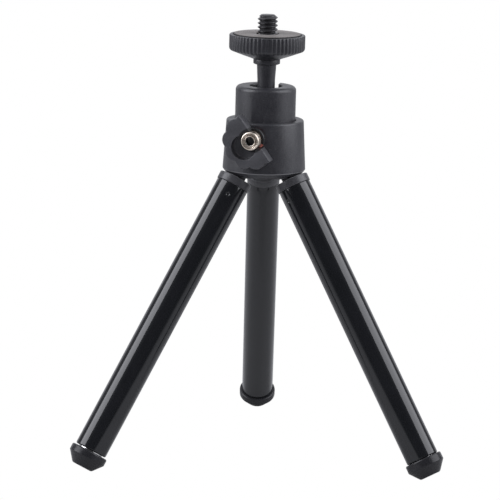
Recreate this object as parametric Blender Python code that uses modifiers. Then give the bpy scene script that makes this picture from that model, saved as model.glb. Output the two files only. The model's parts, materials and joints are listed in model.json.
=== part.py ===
"""Desktop camera tripod: three telescoping legs on a hub, and a notched ball head with a 1/4-inch stud.

Units are millimetres times MM. The floor is Z = 0 and the legs stand spread. Leg 1 points along +Y.
Heights named UP_... are measured up from the leg pivots. Lengths named S_... run down a leg from its pivot.
"""

import math

import bmesh
import bpy
from mathutils import Matrix, Vector

MM = 0.001
CLEARANCE = 0.1  # between pieces that touch or are pressed together
FINE_EDGE = 0.2  # small chamfers
EDGE = 0.3
OVERCUT = 1.0  # how far a cutter reaches past the surface it cuts
WELD = 0.000001  # metres, merge distance of the turned pieces

# Legs
LEG_AZIMUTHS = (90.0, 210.0, 330.0)
SPLAY = 31.0  # degrees from the vertical
PIVOT_R = 8.0
PIN_R = 1.0
PIN_HALF = 4.6
PIN_HOLE_R = PIN_R + 0.1
TONGUE_W = 4.3
TONGUE_T = 3.8
KNUCKLE_R = 2.1
CAP_R = 5.4
S_CAP_TOP = 3.8
S_CAP_BOTTOM = 6.3
S_PLUG_END = 14.5
TUBE_R = 5.15
TUBE_WALL = 0.6
S_TUBE_TOP = S_CAP_BOTTOM + CLEARANCE
S_TUBE_END = 100.4
TUBE_LIP = 1.2  # length of the rolled-in end
TUBE_LIP_R = 4.13  # its bore
DIMPLE_R = 0.8
DIMPLE_DEPTH = 0.35
DIMPLE_ANGLES = (-90.0, 60.0, -104.0)  # round each leg, from its outer side
S_DIMPLE = 10.0
PLUG_WALL = 0.6
PLUG_FLOOR = 1.5
TONGUE_ROOT = 0.5  # how far the tongue reaches into the cap
TUBE_END_EDGE = 0.5
TUBE_END_ROLL = 0.4
BUSH_FIT = 0.06
FOOT_PLUG = 7.0
INNER_R = 4.0
INNER_WALL = 0.5
S_INNER_TOP = 19.0
S_INNER_END = 100.85
S_BUSH_TOP = 18.0
S_BUSH_END = 30.0
FOOT_R = 5.95
FOOT_END_R = 3.15
S_FOOT_TOP = S_INNER_END + CLEARANCE
S_FOOT_RIM = 102.9
S_FOOT_END = 106.2

# The feet stand on the inner edges of their flat ends, which sets the pivots' height.
SIN_SPLAY = math.sin(math.radians(SPLAY))
COS_SPLAY = math.cos(math.radians(SPLAY))
PIVOT_Z = S_FOOT_END * COS_SPLAY + FOOT_END_R * SIN_SPLAY

# The tripod's axis is moved along Y so that the origin is under the middle of the box round the object.
FOOT_RIM_RADIUS = PIVOT_R + S_FOOT_RIM * SIN_SPLAY
BACK_REACH = FOOT_RIM_RADIUS + FOOT_R * COS_SPLAY
FRONT_REACH = FOOT_RIM_RADIUS / 2 + FOOT_R * math.sqrt(1 - (SIN_SPLAY / 2) ** 2)
AXIS_Y = (FRONT_REACH - BACK_REACH) / 2

# Hub
HUB_R = 10.6
HUB_FLAT = 8.5  # distance of the flats between the legs from the axis
UP_HUB_BOTTOM = -2.7
UP_SLOT_TOP = 2.4
UP_HUB_TOP = 3.4
SLOT_W = 4.7
SLOT_INNER_R = 5.6
COUNTERBORE_R = 3.9
UP_COUNTERBORE_TOP = 0.0
PIVOT_SCREW_R = 2.0
PIVOT_HEAD_R = 3.5
PIVOT_HEAD_H = 1.9
PIVOT_HEAD_EDGE = (0.7, 0.5)
RECESS = (3.6, 0.8, 2.0)  # one bar of the cross recess
PIVOT_WASHER_R = 3.7
PIVOT_WASHER_T = 0.4

# Collar
COLLAR_TOP_R = 12.15
COLLAR_BOTTOM_R = 13.05
UP_COLLAR_BOTTOM = -1.7
COLLAR_CHAMFER = 1.1
COLLAR_EDGE = 0.5
SKIRT_BORE_R = 11.0
SKIRT_FLARE = 0.75  # the bore widens at the bottom, clear of the legs
UP_SKIRT_FLARE = -0.75
UP_WEB_BOTTOM = 3.6
UP_WEB_TOP = 6.6
UP_COLLAR_TOP = 15.1
COLLAR_BORE_R = 9.65

# Ball and socket
HEAD_AZIMUTH = 80.0  # the socket's notch
BALL_R = 6.3
UP_BALL = 19.0
SEAT_R = BALL_R + CLEARANCE
SOCKET_R = 9.5
SOCKET_EDGE = 1.3
SOCKET_MOUTH_R = 5.15
MOUTH_EDGE = 0.4
UP_SOCKET_BOTTOM = UP_WEB_TOP + CLEARANCE
UP_SOCKET_TOP = 25.7
NOTCH_HALF = 3.25
CUP_R = 6.2
CUP_WAIST_R = 4.4
UP_CUP_BOTTOM = 6.9
UP_CUP_FOOT = 8.4
UP_CUP_WAIST_TOP = 10.8
UP_CUP_FLANK_TOP = 12.6
CUP_RIM_R = 5.45

# Stem, wheel and camera stud
STEM_TOP_R = 3.05
STEM_R = 2.78
FLANGE_R = 4.2
FLANGE_EDGE = 0.6
STEM_TAPER = 5.0
UP_FLANGE_BOTTOM = 32.5
UP_FLANGE_TOP = 34.1
SHANK_R = 1.9
SHANK_LENGTH = 9.0
WHEEL_R = 11.95
WHEEL_HUB_R = 4.8
WHEEL_BORE_R = 3.3
KNURL_COUNT = 56
KNURL_DEPTH = 0.4
UP_WHEEL_BOTTOM = 34.25
UP_KNURL_BOTTOM = 36.65
UP_WHEEL_TOP = 41.8
WHEEL_EDGE = 0.25
WHEEL_HUB_EDGE = (0.4, 0.1)
KNURL_FOOT = ((0.0, 0.8), (0.7, 0.0), (1.4, -0.2))  # inwards and up from the knurl's bottom
PAD_R = 10.7
PAD_EDGE = 0.15
PAD_HOLE_R = 3.6
PAD_T = 0.7
UP_PAD_TOP = 42.1
THREAD_R = 3.175  # 1/4-20 UNC
THREAD_ROOT_R = 2.5
THREAD_PITCH = 1.27
UP_STUD_TOP = 48.05
UP_THREAD_START = 35.2
THREAD_RUN_OUT = 0.8
TURN_POINTS = 12
RIDGE_BASE = 0.42  # half the ridge's foot, in pitches
RIDGE_CREST = 0.08  # half its crest
RIDGE_ROOT = 0.2  # how far it starts inside the stud

# Clamp
CLAMP_AZIMUTH = 255.0
UP_CLAMP = 10.5
CLAMP_SHANK_R = 2.0
CLAMP_TIP_R = 0.5
CLAMP_TIP_AT = 5.0  # distances from the tripod's axis
CLAMP_CONE_AT = 6.5
INSERT_R = 2.9
INSERT_FROM = 9.85
INSERT_TO = 12.0
WASHER_R = 3.6
WASHER_FROM = 12.6
WASHER_TO = 13.1
STUD_R = 2.85
STUD_FROM = 13.35
STUD_TO = 18.0
STUD_HOLE_R = 1.25
STUD_HOLE_DEPTH = 3.0
INSERT_HOLE_FROM = 8.15
TIP_HOLE_FROM = 3.0
TIP_HOLE_FIT = 0.15
WING_R = 9.1
WING_LOBES = 10
WING_LOBE_DEPTH = 1.0
WING_LOBE_SHAPE = 0.7
WING_POINTS = 80
WING_CHORD = 1.55  # straight side's distance from the stud's centre
WING_SLANT = 53.0  # degrees the straight side drops to the right, seen from outside
WING_FROM = 13.25
WING_TO = 17.4
BOSS_R = 4.0
BOSS_TO = 15.4
POCKET_R = 3.95
POCKET_OFFSET = 2.2
POCKET_DEPTH = 2.6


# ---------------------------------------------------------------- helpers


def clear_scene():
    for obj in list(bpy.data.objects):
        bpy.data.objects.remove(obj, do_unlink=True)


def new_collection(name):
    collection = bpy.data.collections.new(name)
    bpy.context.scene.collection.children.link(collection)
    return collection


def material(name, colour, roughness, metallic=0.0):
    mat = bpy.data.materials.new(name)
    mat.use_nodes = True
    shader = mat.node_tree.nodes["Principled BSDF"]
    shader.inputs["Base Color"].default_value = (*colour, 1.0)
    shader.inputs["Roughness"].default_value = roughness
    shader.inputs["Metallic"].default_value = metallic
    return mat


def empty(name, parent=None, location=(0, 0, 0), rotation=Matrix.Identity(4)):
    obj = bpy.data.objects.new(name, None)
    obj.matrix_local = Matrix.Translation(Vector(location) * MM) @ rotation
    obj.parent = parent
    parts.objects.link(obj)
    return obj


def place(obj, parent=None, location=(0, 0, 0), rotation=Matrix.Identity(4)):
    obj.parent = parent
    obj.matrix_local = Matrix.Translation(Vector(location) * MM) @ rotation
    return obj


def arc(centre_r, centre_z, radius, start, end, count):
    """Points (r, z) along an arc; angles in degrees from the +r direction."""
    points = []
    for i in range(count + 1):
        angle = math.radians(start + (end - start) * i / count)
        points.append((centre_r + radius * math.cos(angle), centre_z + radius * math.sin(angle)))
    return points


def turned(name, points, mat, steps=32, loop=False, collection=None):
    """A profile of (r, z) points turned about Z, top to bottom down its outer side."""
    mesh = bpy.data.meshes.new(name)
    build = bmesh.new()
    verts = [build.verts.new((r * MM, 0, z * MM)) for r, z in points]
    for a, b in zip(verts, verts[1:]):
        build.edges.new((a, b))
    if loop:
        build.edges.new((verts[-1], verts[0]))
    build.to_mesh(mesh)
    build.free()
    obj = bpy.data.objects.new(name, mesh)
    (collection or parts).objects.link(obj)
    turn = obj.modifiers.new("Turn", "SCREW")
    turn.axis = "Z"
    turn.angle = math.tau
    turn.steps = steps
    turn.render_steps = steps
    turn.use_merge_vertices = True
    turn.merge_threshold = WELD
    turn.use_smooth_shade = True
    if mat:
        mesh.materials.append(mat)
    return obj


def rod(name, radius, bottom, top, mat=None, steps=24, collection=None):
    points = [(0, top), (radius, top), (radius, bottom), (0, bottom)]
    return turned(name, points, mat, steps, collection=collection)


def box(name, size, centre, mat=None, collection=None):
    mesh = bpy.data.meshes.new(name)
    build = bmesh.new()
    bmesh.ops.create_cube(build, size=1.0)
    bmesh.ops.scale(build, vec=Vector(size) * MM, verts=build.verts)
    bmesh.ops.translate(build, vec=Vector(centre) * MM, verts=build.verts)
    build.to_mesh(mesh)
    build.free()
    obj = bpy.data.objects.new(name, mesh)
    (collection or parts).objects.link(obj)
    if mat:
        mesh.materials.append(mat)
    return obj


def prism(name, outline, bottom, top, mat=None, collection=None):
    """A flat outline of (x, y) points raised from bottom to top, as a mesh."""
    curve = bpy.data.curves.new(name, "CURVE")
    curve.dimensions = "2D"
    curve.fill_mode = "BOTH"
    curve.extrude = (top - bottom) / 2 * MM
    spline = curve.splines.new("POLY")
    spline.points.add(len(outline) - 1)
    for point, (x, y) in zip(spline.points, outline):
        point.co = (x * MM, y * MM, 0, 1)
    spline.use_cyclic_u = True
    obj = curve_to_mesh(name, curve, mat, collection)
    obj.data.transform(Matrix.Translation((0, 0, (top + bottom) / 2 * MM)))
    return obj


def curve_to_mesh(name, curve, mat=None, collection=None):
    guide = bpy.data.objects.new(name + "_guide", curve)
    cutters.objects.link(guide)
    bpy.context.view_layer.update()
    evaluated = guide.evaluated_get(bpy.context.evaluated_depsgraph_get())
    mesh = bpy.data.meshes.new_from_object(evaluated)
    mesh.name = name
    bpy.data.objects.remove(guide, do_unlink=True)
    build = bmesh.new()
    build.from_mesh(mesh)
    bmesh.ops.remove_doubles(build, verts=build.verts, dist=WELD)
    bmesh.ops.recalc_face_normals(build, faces=build.faces)
    build.to_mesh(mesh)
    build.free()
    mesh.materials.clear()
    if mat:
        mesh.materials.append(mat)
    obj = bpy.data.objects.new(name, mesh)
    (collection or parts).objects.link(obj)
    return obj


def combine(obj, tool, operation="DIFFERENCE"):
    """Cut, join or trim obj with tool, which moves with it."""
    tool.hide_render = True
    tool.display_type = "WIRE"
    cut = obj.modifiers.new(tool.name, "BOOLEAN")
    cut.operation = operation
    cut.solver = "EXACT"
    cut.object = tool
    return tool


def turn_z(degrees):
    return Matrix.Rotation(math.radians(degrees), 4, "Z")


def turn_y(degrees):
    return Matrix.Rotation(math.radians(degrees), 4, "Y")


def turn_x(degrees):
    return Matrix.Rotation(math.radians(degrees), 4, "X")


# ---------------------------------------------------------------- stage

clear_scene()
parts = new_collection("desktop_tripod")
cutters = new_collection("cutters")

black_plastic = material("black_plastic", (0.035, 0.035, 0.038), 0.55)
satin_plastic = material("satin_plastic", (0.04, 0.04, 0.043), 0.45)
black_tube = material("black_tube", (0.012, 0.013, 0.014), 0.2)
black_steel = material("black_steel", (0.03, 0.03, 0.03), 0.35, 0.8)
bright_steel = material("bright_steel", (0.62, 0.6, 0.57), 0.3, 1.0)
bright_tube = material("bright_tube", (0.7, 0.7, 0.7), 0.2, 1.0)
brass = material("brass", (0.7, 0.52, 0.25), 0.3, 1.0)
rubber = material("rubber", (0.05, 0.045, 0.04), 0.8)
red_fibre = material("red_fibre", (0.5, 0.1, 0.09), 0.7)

axis = empty("tripod_axis", location=(0, AXIS_Y, PIVOT_Z))

# ---------------------------------------------------------------- hub

hub = turned(
    "leg_hub",
    [
        (HUB_R, UP_HUB_TOP),
        (HUB_R, UP_HUB_BOTTOM),
        (COUNTERBORE_R, UP_HUB_BOTTOM),
        (COUNTERBORE_R, UP_COUNTERBORE_TOP),
        (PIVOT_SCREW_R + CLEARANCE, UP_COUNTERBORE_TOP),
        (PIVOT_SCREW_R + CLEARANCE, UP_HUB_TOP),
    ],
    black_plastic,
    steps=48,
    loop=True,
)
place(hub, axis)
for index, azimuth in enumerate(LEG_AZIMUTHS, start=1):
    spoke = turn_z(azimuth)
    slot_depth = UP_SLOT_TOP - UP_HUB_BOTTOM + OVERCUT
    slot = box(
        f"slot_{index}",
        (HUB_R, SLOT_W, slot_depth),
        (SLOT_INNER_R + HUB_R / 2, 0, UP_SLOT_TOP - slot_depth / 2),
        collection=cutters,
    )
    place(combine(hub, slot), axis, rotation=spoke)
    flat = box(
        f"flat_{index}",
        (HUB_R, 2 * HUB_R, 2 * HUB_R),
        (HUB_FLAT + HUB_R / 2, 0, 0),
        collection=cutters,
    )
    place(combine(hub, flat), axis, rotation=turn_z(azimuth + 180))
    pin_hole = rod(f"hub_hole_{index}", PIN_HOLE_R, -HUB_R, HUB_R, steps=16, collection=cutters)
    place(combine(hub, pin_hole), axis, (spoke @ Vector((PIVOT_R, 0, 0))), spoke @ turn_x(90))

# The screw that holds the head to the hub, and lets it turn.
screw_head_top = UP_COUNTERBORE_TOP - PIVOT_WASHER_T - 2 * CLEARANCE
pivot_screw = turned(
    "pivot_screw",
    [
        (0, UP_WEB_TOP - FINE_EDGE),
        (PIVOT_SCREW_R - EDGE, UP_WEB_TOP - FINE_EDGE),
        (PIVOT_SCREW_R, UP_WEB_TOP - FINE_EDGE - EDGE),
        (PIVOT_SCREW_R, screw_head_top),
        (PIVOT_HEAD_R, screw_head_top),
        (PIVOT_HEAD_R, screw_head_top - PIVOT_HEAD_H + PIVOT_HEAD_EDGE[1]),
        (PIVOT_HEAD_R - PIVOT_HEAD_EDGE[0], screw_head_top - PIVOT_HEAD_H),
        (0, screw_head_top - PIVOT_HEAD_H),
    ],
    bright_steel,
    steps=24,
)
place(pivot_screw, axis)
for index, angle in enumerate((0, 90), start=1):
    recess_at = (0, 0, screw_head_top - PIVOT_HEAD_H)
    recess = box(f"recess_{index}", RECESS, recess_at, collection=cutters)
    place(combine(pivot_screw, recess), axis, rotation=turn_z(angle))
pivot_washer = turned(
    "pivot_washer",
    [
        (PIVOT_WASHER_R, UP_COUNTERBORE_TOP - CLEARANCE),
        (PIVOT_WASHER_R, UP_COUNTERBORE_TOP - CLEARANCE - PIVOT_WASHER_T),
        (PIVOT_SCREW_R + CLEARANCE, UP_COUNTERBORE_TOP - CLEARANCE - PIVOT_WASHER_T),
        (PIVOT_SCREW_R + CLEARANCE, UP_COUNTERBORE_TOP - CLEARANCE),
    ],
    bright_steel,
    steps=24,
    loop=True,
)
place(pivot_washer, axis)

# ---------------------------------------------------------------- collar and socket

collar = turned(
    "head_collar",
    [
        *arc(COLLAR_TOP_R - COLLAR_EDGE, UP_COLLAR_TOP - COLLAR_EDGE, COLLAR_EDGE, 90, 0, 3),
        (COLLAR_BOTTOM_R, UP_COLLAR_BOTTOM + COLLAR_CHAMFER),
        (COLLAR_BOTTOM_R - COLLAR_CHAMFER + FINE_EDGE, UP_COLLAR_BOTTOM),
        (SKIRT_BORE_R + SKIRT_FLARE, UP_COLLAR_BOTTOM),
        (SKIRT_BORE_R, UP_SKIRT_FLARE),
        (SKIRT_BORE_R, UP_WEB_BOTTOM),
        (PIVOT_SCREW_R + CLEARANCE, UP_WEB_BOTTOM),
        (PIVOT_SCREW_R + CLEARANCE, UP_WEB_TOP),
        (COLLAR_BORE_R, UP_WEB_TOP),
        (COLLAR_BORE_R, UP_COLLAR_TOP - EDGE),
        (COLLAR_BORE_R + EDGE, UP_COLLAR_TOP),
    ],
    black_plastic,
    steps=48,
    loop=True,
)
place(collar, axis)

mouth_angle = math.degrees(math.acos(SOCKET_MOUTH_R / SEAT_R))
socket = turned(
    "head_socket",
    [
        *arc(SOCKET_R - SOCKET_EDGE, UP_SOCKET_TOP - SOCKET_EDGE, SOCKET_EDGE, 90, 0, 4),
        (SOCKET_R, UP_SOCKET_BOTTOM),
        (SEAT_R, UP_SOCKET_BOTTOM),
        *arc(0, UP_BALL, SEAT_R, 0, mouth_angle, 6),
        (SOCKET_MOUTH_R, UP_SOCKET_TOP - MOUTH_EDGE),
        (SOCKET_MOUTH_R + MOUTH_EDGE, UP_SOCKET_TOP),
    ],
    black_plastic,
    steps=40,
    loop=True,
)
place(socket, axis)
notch = rod("notch_round", NOTCH_HALF, 0, 2 * SOCKET_R, steps=24, collection=cutters)
notch_slot = box(
    "notch_slot",
    (2 * SOCKET_R, 2 * NOTCH_HALF, 2 * SOCKET_R),
    (SOCKET_R, 0, SOCKET_R),
    collection=cutters,
)
notch_turn = turn_z(HEAD_AZIMUTH)
place(combine(socket, notch), axis, (0, 0, UP_BALL), notch_turn @ turn_y(90))
place(combine(socket, notch_slot), axis, (0, 0, UP_BALL), notch_turn)

cup = turned(
    "ball_cup",
    [
        *arc(0, UP_BALL, SEAT_R, -90, -math.degrees(math.acos(CUP_RIM_R / SEAT_R)), 6),
        (CUP_R, UP_BALL - math.sqrt(SEAT_R**2 - CUP_RIM_R**2)),
        (CUP_R, UP_CUP_FLANK_TOP),
        (CUP_WAIST_R, UP_CUP_WAIST_TOP),
        (CUP_WAIST_R, UP_CUP_FOOT),
        (CUP_R, UP_CUP_FOOT),
        (CUP_R, UP_CUP_BOTTOM),
        (0, UP_CUP_BOTTOM),
    ],
    satin_plastic,
)
place(cup, axis)

# ---------------------------------------------------------------- ball, stem, wheel and camera stud

ball_at = empty("ball_centre", axis, (0, 0, UP_BALL))


def above_ball(height):
    return height - UP_BALL


hole_floor = above_ball(UP_FLANGE_TOP) - SHANK_LENGTH - CLEARANCE
neck_angle = math.degrees(math.acos(STEM_R / BALL_R))
stem = turned(
    "ball_stem",
    [
        (0, hole_floor),
        (SHANK_R + CLEARANCE, hole_floor),
        (SHANK_R + CLEARANCE, above_ball(UP_FLANGE_TOP)),
        (FLANGE_R, above_ball(UP_FLANGE_TOP)),
        (FLANGE_R, above_ball(UP_FLANGE_BOTTOM) + FLANGE_EDGE),
        (FLANGE_R - FLANGE_EDGE, above_ball(UP_FLANGE_BOTTOM)),
        (STEM_TOP_R, above_ball(UP_FLANGE_BOTTOM)),
        (STEM_R, above_ball(UP_FLANGE_BOTTOM) - STEM_TAPER),
        *arc(0, 0, BALL_R, neck_angle, -90, 14),
    ],
    black_plastic,
)
place(stem, ball_at)

thread_start = above_ball(UP_THREAD_START)
stud_top = above_ball(UP_STUD_TOP)
stud = turned(
    "camera_screw",
    [
        (0, stud_top),
        (THREAD_ROOT_R - EDGE, stud_top),
        (THREAD_ROOT_R, stud_top - EDGE),
        (THREAD_ROOT_R, above_ball(UP_FLANGE_TOP) + CLEARANCE),
        (SHANK_R, above_ball(UP_FLANGE_TOP) + CLEARANCE),
        (SHANK_R, hole_floor + CLEARANCE),
        (0, hole_floor + CLEARANCE),
    ],
    black_steel,
    steps=20,
)
place(stud, ball_at)

# The thread: a sharp-crested ridge wound up the stud and joined to it.
ridge_depth = THREAD_R - THREAD_ROOT_R
ridge_profile = bpy.data.curves.new("ridge_profile", "CURVE")
ridge_profile.dimensions = "2D"
ridge_outline = ridge_profile.splines.new("POLY")
ridge_half = THREAD_PITCH * RIDGE_BASE
ridge_corners = (
    (-RIDGE_ROOT, -ridge_half),
    (ridge_depth, -RIDGE_CREST),
    (ridge_depth, RIDGE_CREST),
    (-RIDGE_ROOT, ridge_half),
)
ridge_outline.points.add(len(ridge_corners) - 1)
for point, (out, up) in zip(ridge_outline.points, ridge_corners):
    point.co = (out * MM, up * MM, 0, 1)
ridge_outline.use_cyclic_u = True
profile_guide = bpy.data.objects.new("ridge_profile", ridge_profile)
cutters.objects.link(profile_guide)

thread_length = stud_top - THREAD_RUN_OUT - thread_start
ridge_count = int(thread_length / THREAD_PITCH * TURN_POINTS)
helix = bpy.data.curves.new("helix", "CURVE")
helix.dimensions = "3D"
helix.twist_mode = "Z_UP"
helix.bevel_mode = "OBJECT"
helix.bevel_object = profile_guide
helix.use_fill_caps = True
winding = helix.splines.new("POLY")
winding.points.add(ridge_count)
for i, point in enumerate(winding.points):
    angle = math.tau * i / TURN_POINTS
    rise = thread_start + THREAD_PITCH * i / TURN_POINTS
    point.co = (THREAD_ROOT_R * math.cos(angle) * MM, THREAD_ROOT_R * math.sin(angle) * MM, rise * MM, 1)
ridge = curve_to_mesh("thread_ridge", helix, collection=cutters)
bpy.data.objects.remove(profile_guide, do_unlink=True)
place(combine(stud, ridge, "UNION"), ball_at)

wheel_bottom = above_ball(UP_WHEEL_BOTTOM)
wheel_top = above_ball(UP_WHEEL_TOP)
pad_top = above_ball(UP_PAD_TOP)
pad_floor = pad_top - PAD_T - CLEARANCE
wheel = turned(
    "lock_wheel",
    [
        (PAD_R + CLEARANCE, wheel_top),
        (WHEEL_R - WHEEL_EDGE, wheel_top),
        (WHEEL_R, wheel_top - WHEEL_EDGE),
        *[(WHEEL_R - inwards, above_ball(UP_KNURL_BOTTOM) + rise) for inwards, rise in KNURL_FOOT],
        (WHEEL_HUB_R, wheel_bottom + WHEEL_HUB_EDGE[1]),
        (WHEEL_HUB_R - WHEEL_HUB_EDGE[0], wheel_bottom),
        (WHEEL_BORE_R, wheel_bottom),
        (WHEEL_BORE_R, pad_floor),
        (PAD_R + CLEARANCE, pad_floor),
    ],
    black_plastic,
    steps=40,
    loop=True,
)
place(wheel, ball_at)
knurl_points = []
for i in range(2 * KNURL_COUNT):
    radius = WHEEL_R + CLEARANCE if i % 2 else WHEEL_R - KNURL_DEPTH
    angle = math.pi * i / KNURL_COUNT
    knurl_points.append((radius * math.cos(angle), radius * math.sin(angle)))
knurl = prism("knurl", knurl_points, wheel_bottom - OVERCUT, wheel_top + OVERCUT, collection=cutters)
place(combine(wheel, knurl, "INTERSECT"), ball_at)

pad = turned(
    "wheel_pad",
    [
        (PAD_R - PAD_EDGE, pad_top),
        (PAD_R, pad_top - PAD_EDGE),
        (PAD_R, pad_top - PAD_T),
        (PAD_HOLE_R, pad_top - PAD_T),
        (PAD_HOLE_R, pad_top),
    ],
    rubber,
    steps=40,
    loop=True,
)
place(pad, ball_at)

# ---------------------------------------------------------------- clamp

# The clamp's own frame: +Z points out of the collar, +X to the right seen from outside, +Y up.
clamp_out = Vector((math.cos(math.radians(CLAMP_AZIMUTH)), math.sin(math.radians(CLAMP_AZIMUTH)), 0))
clamp_right = Vector((0, 0, 1)).cross(clamp_out)
clamp_turn = Matrix((clamp_right, (0, 0, 1), clamp_out)).transposed().to_4x4()
clamp_axis = empty("clamp_axis", axis, (0, 0, UP_CLAMP), clamp_turn)

insert_hole = rod(
    "insert_hole", INSERT_R + CLEARANCE, INSERT_HOLE_FROM, COLLAR_BOTTOM_R + OVERCUT, collection=cutters
)
place(combine(collar, insert_hole), clamp_axis)
tip_hole_r = CLAMP_SHANK_R + TIP_HOLE_FIT
tip_hole = rod("tip_hole", tip_hole_r, TIP_HOLE_FROM, SOCKET_R + OVERCUT, collection=cutters)
place(combine(socket, tip_hole), clamp_axis)

insert = turned(
    "thread_insert",
    [
        (INSERT_R, INSERT_TO),
        (INSERT_R, INSERT_FROM),
        (CLAMP_SHANK_R + CLEARANCE, INSERT_FROM),
        (CLAMP_SHANK_R + CLEARANCE, INSERT_TO),
    ],
    brass,
    steps=24,
    loop=True,
)
place(insert, clamp_axis)

clamp_screw = turned(
    "clamp_screw",
    [
        (0, STUD_TO - STUD_HOLE_DEPTH),
        (STUD_HOLE_R, STUD_TO - STUD_HOLE_DEPTH),
        (STUD_HOLE_R, STUD_TO),
        (STUD_R - FINE_EDGE, STUD_TO),
        (STUD_R, STUD_TO - FINE_EDGE),
        (STUD_R, STUD_FROM),
        (CLAMP_SHANK_R, STUD_FROM),
        (CLAMP_SHANK_R, CLAMP_CONE_AT),
        (CLAMP_TIP_R, CLAMP_TIP_AT),
        (0, CLAMP_TIP_AT),
    ],
    bright_steel,
    steps=28,
)
place(clamp_screw, clamp_axis)

washer = turned(
    "clamp_washer",
    [
        (WASHER_R, WASHER_TO),
        (WASHER_R, WASHER_FROM),
        (CLAMP_SHANK_R + CLEARANCE, WASHER_FROM),
        (CLAMP_SHANK_R + CLEARANCE, WASHER_TO),
    ],
    red_fibre,
    steps=24,
    loop=True,
)
place(washer, clamp_axis)


def wing_outline():
    """A lobed disc with one side cut straight. The chord's ends close it."""
    normal = math.radians(90 - WING_SLANT)
    points = []
    for i in range(WING_POINTS):
        angle = math.tau * i / WING_POINTS + normal
        lobe = abs(math.cos((angle - math.pi) * WING_LOBES / 2)) ** WING_LOBE_SHAPE
        radius = WING_R - WING_LOBE_DEPTH * (1 - lobe)
        x, y = radius * math.cos(angle), radius * math.sin(angle)
        if x * math.cos(normal) + y * math.sin(normal) < WING_CHORD:
            points.append((x, y))
    return points


wing = prism("clamp_wing", wing_outline(), WING_FROM, WING_TO, satin_plastic)
place(wing, clamp_axis)
pocket_at = (-POCKET_OFFSET, -POCKET_OFFSET, 0)
pocket = rod("pocket", POCKET_R, WING_TO - POCKET_DEPTH, WING_TO + OVERCUT, collection=cutters)
place(combine(wing, pocket), clamp_axis, pocket_at)
boss = rod("boss", BOSS_R, WING_FROM, BOSS_TO, collection=cutters, steps=28)
place(combine(wing, boss, "UNION"), clamp_axis)
stud_bore = rod(
    "stud_bore", STUD_R + CLEARANCE, WING_FROM - OVERCUT, WING_TO + OVERCUT, collection=cutters, steps=28
)
place(combine(wing, stud_bore), clamp_axis)

# ---------------------------------------------------------------- legs

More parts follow.
